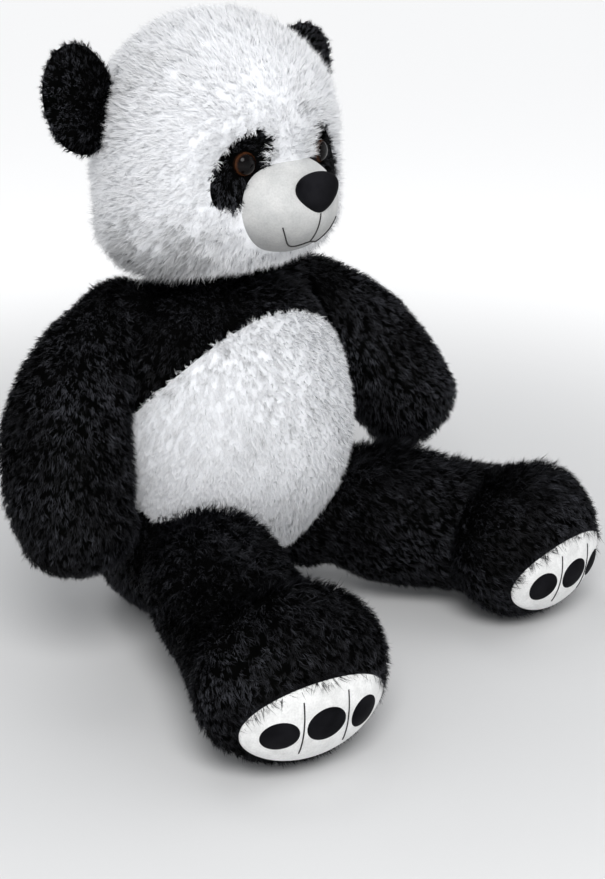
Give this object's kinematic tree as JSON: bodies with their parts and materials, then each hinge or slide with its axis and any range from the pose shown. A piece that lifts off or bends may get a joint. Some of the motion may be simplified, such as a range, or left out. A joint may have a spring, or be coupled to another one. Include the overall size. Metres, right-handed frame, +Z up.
{
  "type": "plush panda",
  "caption": "Large sitting plush panda with a stuffed black and white body, velour muzzle and soles, domed eyes, and soft sewn neck, shoulders and hips that flex.",
  "frame": {"origin": "on the torso's flat base, on the mid-plane, where the panda sits on the floor", "axes": "+Z up, -Y the way the panda faces, +X to the panda's left"},
  "size_m": [0.7487, 0.6274, 0.814],
  "materials": {
    "white_plush": "matte",
    "black_plush": "matte",
    "white_velour": "matte",
    "black_velour": "matte",
    "thread": "satin",
    "stuffing": "matte",
    "eye": "gloss",
    "washer": "satin"
  },
  "bodies": {
    "torso": {"torso_skin": "black_plush", "belly_panel": "white_plush", "torso_stuffing": "stuffing"},
    "neck": {"neck_roll": "black_plush"},
    "head": {"head_skin": "white_plush", "head_stuffing": "stuffing", "muzzle_skin": "white_velour", "muzzle_stuffing": "stuffing", "nose": "black_velour", "mouth_thread": "thread", "lip_thread": "thread", "eye_patch_right": "black_plush", "eye_right": "eye", "eye_washer_right": "washer", "ear_front_right": "black_plush", "ear_back_right": "black_plush", "eye_patch_left": "black_plush", "eye_left": "eye", "eye_washer_left": "washer", "ear_front_left": "black_plush", "ear_back_left": "black_plush"},
    "arm_right": {"arm_skin_right": "black_plush", "arm_stuffing_right": "stuffing"},
    "leg_right": {"leg_skin_right": "black_plush", "leg_stuffing_right": "stuffing", "sole_panel_right": "white_velour", "toe_pad_outer_right": "black_velour", "toe_pad_middle_right": "black_velour", "toe_pad_inner_right": "black_velour", "toe_thread_outer_right": "thread", "toe_thread_inner_right": "thread"},
    "arm_left": {"arm_skin_left": "black_plush", "arm_stuffing_left": "stuffing"},
    "leg_left": {"leg_skin_left": "black_plush", "leg_stuffing_left": "stuffing", "sole_panel_left": "white_velour", "toe_pad_outer_left": "black_velour", "toe_pad_middle_left": "black_velour", "toe_pad_inner_left": "black_velour", "toe_thread_outer_left": "thread", "toe_thread_inner_left": "thread"}
  },
  "joints": [
    {"name": "neck_turn", "type": "hinge", "parent": "torso", "child": "neck", "pos_m": [0, -0.015, 0.36], "axis": [0, 0, 1], "range_deg": [-30, 30], "stiffness_Nm_per_rad": 10},
    {"name": "neck_nod", "type": "hinge", "parent": "neck", "child": "head", "pos_m": [0, -0.015, 0.36], "axis": [1, 0, 0], "range_deg": [-12, 15], "stiffness_Nm_per_rad": 40},
    {"name": "shoulder_right", "type": "hinge", "parent": "torso", "child": "arm_right", "pos_m": [-0.15, 0.01, 0.42], "axis": [-0.9763, 0, 0.2164], "range_deg": [-20, 75], "stiffness_Nm_per_rad": 4},
    {"name": "shoulder_left", "type": "hinge", "parent": "torso", "child": "arm_left", "pos_m": [0.15, 0.01, 0.42], "axis": [-0.9763, 0, -0.2164], "range_deg": [-30, 46], "stiffness_Nm_per_rad": 4},
    {"name": "hip_right", "type": "hinge", "parent": "torso", "child": "leg_right", "pos_m": [-0.115, -0.09, 0.13], "axis": [-0.9397, 0.342, 0], "range_deg": [-20, 6], "stiffness_Nm_per_rad": 8},
    {"name": "hip_left", "type": "hinge", "parent": "torso", "child": "leg_left", "pos_m": [0.115, -0.09, 0.13], "axis": [-0.7547, -0.6561, 0], "range_deg": [-20, 3], "stiffness_Nm_per_rad": 8}
  ]
}
